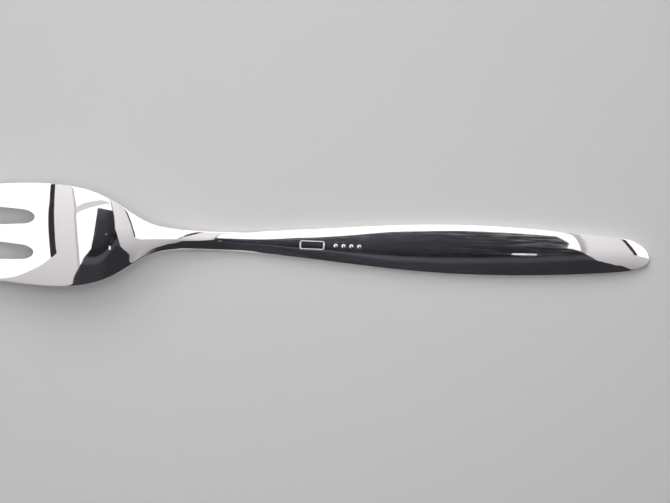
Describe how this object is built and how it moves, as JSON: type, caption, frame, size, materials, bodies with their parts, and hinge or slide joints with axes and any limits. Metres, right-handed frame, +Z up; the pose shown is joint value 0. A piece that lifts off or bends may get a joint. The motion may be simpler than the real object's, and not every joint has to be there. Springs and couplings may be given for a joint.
{
  "type": "cake fork",
  "caption": "Polished silver cake fork with one wide cutting tine, a hollow bowl, a thin neck and a spatulate handle.",
  "frame": {"origin": "on the table, under the middle of the fork's length and width, with the fork lying back up", "axes": "+X from the tine tips to the end of the handle, +Y to the side of the wide cutting tine, +Z up"},
  "size_m": [0.15, 0.0209, 0.0093],
  "materials": {
    "silver": "polished silver with fine wear scratches"
  },
  "bodies": {
    "root": {"fork_body": "silver"}
  },
  "joints": []
}
